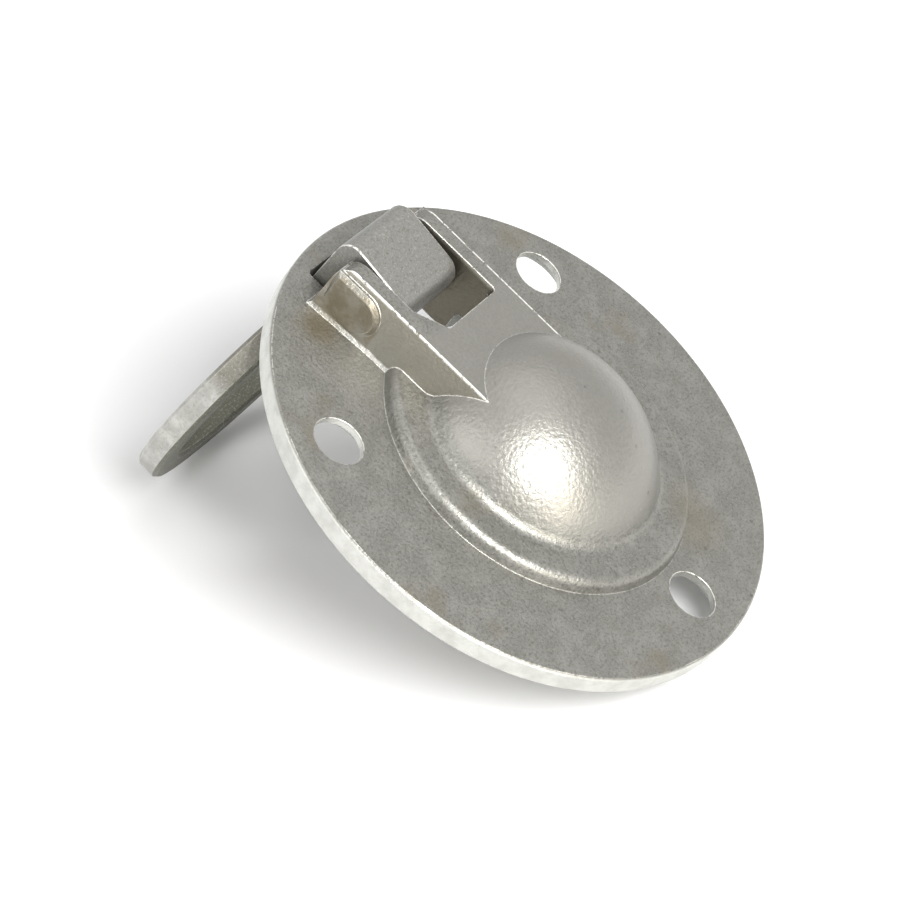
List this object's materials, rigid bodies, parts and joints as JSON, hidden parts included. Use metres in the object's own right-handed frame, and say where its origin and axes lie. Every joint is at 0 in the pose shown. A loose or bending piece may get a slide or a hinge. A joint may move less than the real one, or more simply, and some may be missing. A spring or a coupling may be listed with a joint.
{
  "type": "flush ring pull",
  "caption": "Round recessed pull: a flat flange with countersunk screw holes and a finger cup, and a ring handle that folds flush into it on a hinge pin.",
  "frame": {"origin": "centre of the screw circle on the flange's back face, which seats on the panel", "axes": "+Z out of the front face, +Y from the cup towards the hinge, X along the hinge pin"},
  "size_m": [0.0544, 0.0544, 0.0422],
  "materials": {
    "cast_body": "fine sand-cast grain with a smoother turned rim",
    "pin_steel": "plain drawn",
    "cast_ring": "cast grain, lightly polished round the rim"
  },
  "bodies": {
    "cup": {"cup_body": "cast_body", "hinge_pin": "pin_steel"},
    "ring": {"pull_ring": "cast_ring"}
  },
  "joints": [
    {"name": "ring_hinge", "type": "hinge", "parent": "cup", "child": "ring", "pos_m": [0, 0.0192, -0.00265], "axis": [1, 0, 0], "range_deg": [0, 93.4]}
  ]
}
